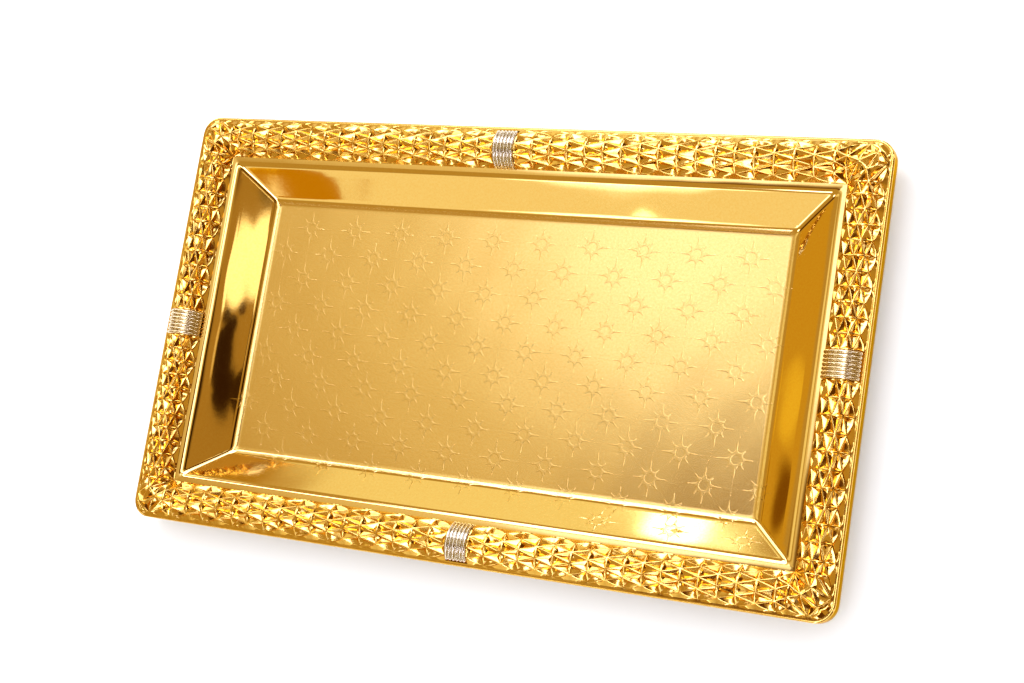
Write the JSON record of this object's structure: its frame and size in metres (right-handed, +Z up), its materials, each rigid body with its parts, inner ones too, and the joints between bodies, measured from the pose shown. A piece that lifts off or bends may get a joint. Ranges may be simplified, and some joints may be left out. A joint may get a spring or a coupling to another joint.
{
  "type": "rectangular serving tray",
  "caption": "Rectangular gilt brass serving tray: embossed pan with sloping walls, faceted half-round rim and silver wire bands.",
  "frame": {"origin": "on the underside of the pan's floor, at the centre of the tray; the floor's underside is z = 0", "axes": "+Z up out of the basin, +X along the tray's length to the right, +Y towards the back"},
  "size_m": [0.4, 0.23, 0.0241],
  "materials": {
    "gilt_pan": "satin gilt, embossed",
    "gilt_moulding": "polished gilt, faceted",
    "silver_wire": "polished silver",
    "edge_steel": "plain drawn wire"
  },
  "bodies": {
    "root": {"pan": "gilt_pan", "edge_wire": "edge_steel", "rim_front": "gilt_moulding", "rim_right": "gilt_moulding", "rim_back": "gilt_moulding", "rim_left": "gilt_moulding", "band_front_wire_1": "silver_wire", "band_front_wire_2": "silver_wire", "band_front_wire_3": "silver_wire", "band_front_wire_4": "silver_wire", "band_front_wire_5": "silver_wire", "band_front_wire_6": "silver_wire", "band_right_wire_1": "silver_wire", "band_right_wire_2": "silver_wire", "band_right_wire_3": "silver_wire", "band_right_wire_4": "silver_wire", "band_right_wire_5": "silver_wire", "band_right_wire_6": "silver_wire", "band_right_wire_7": "silver_wire", "band_back_wire_1": "silver_wire", "band_back_wire_2": "silver_wire", "band_back_wire_3": "silver_wire", "band_back_wire_4": "silver_wire", "band_back_wire_5": "silver_wire", "band_back_wire_6": "silver_wire", "band_left_wire_1": "silver_wire", "band_left_wire_2": "silver_wire", "band_left_wire_3": "silver_wire", "band_left_wire_4": "silver_wire", "band_left_wire_5": "silver_wire", "band_left_wire_6": "silver_wire", "band_left_wire_7": "silver_wire"}
  },
  "joints": []
}
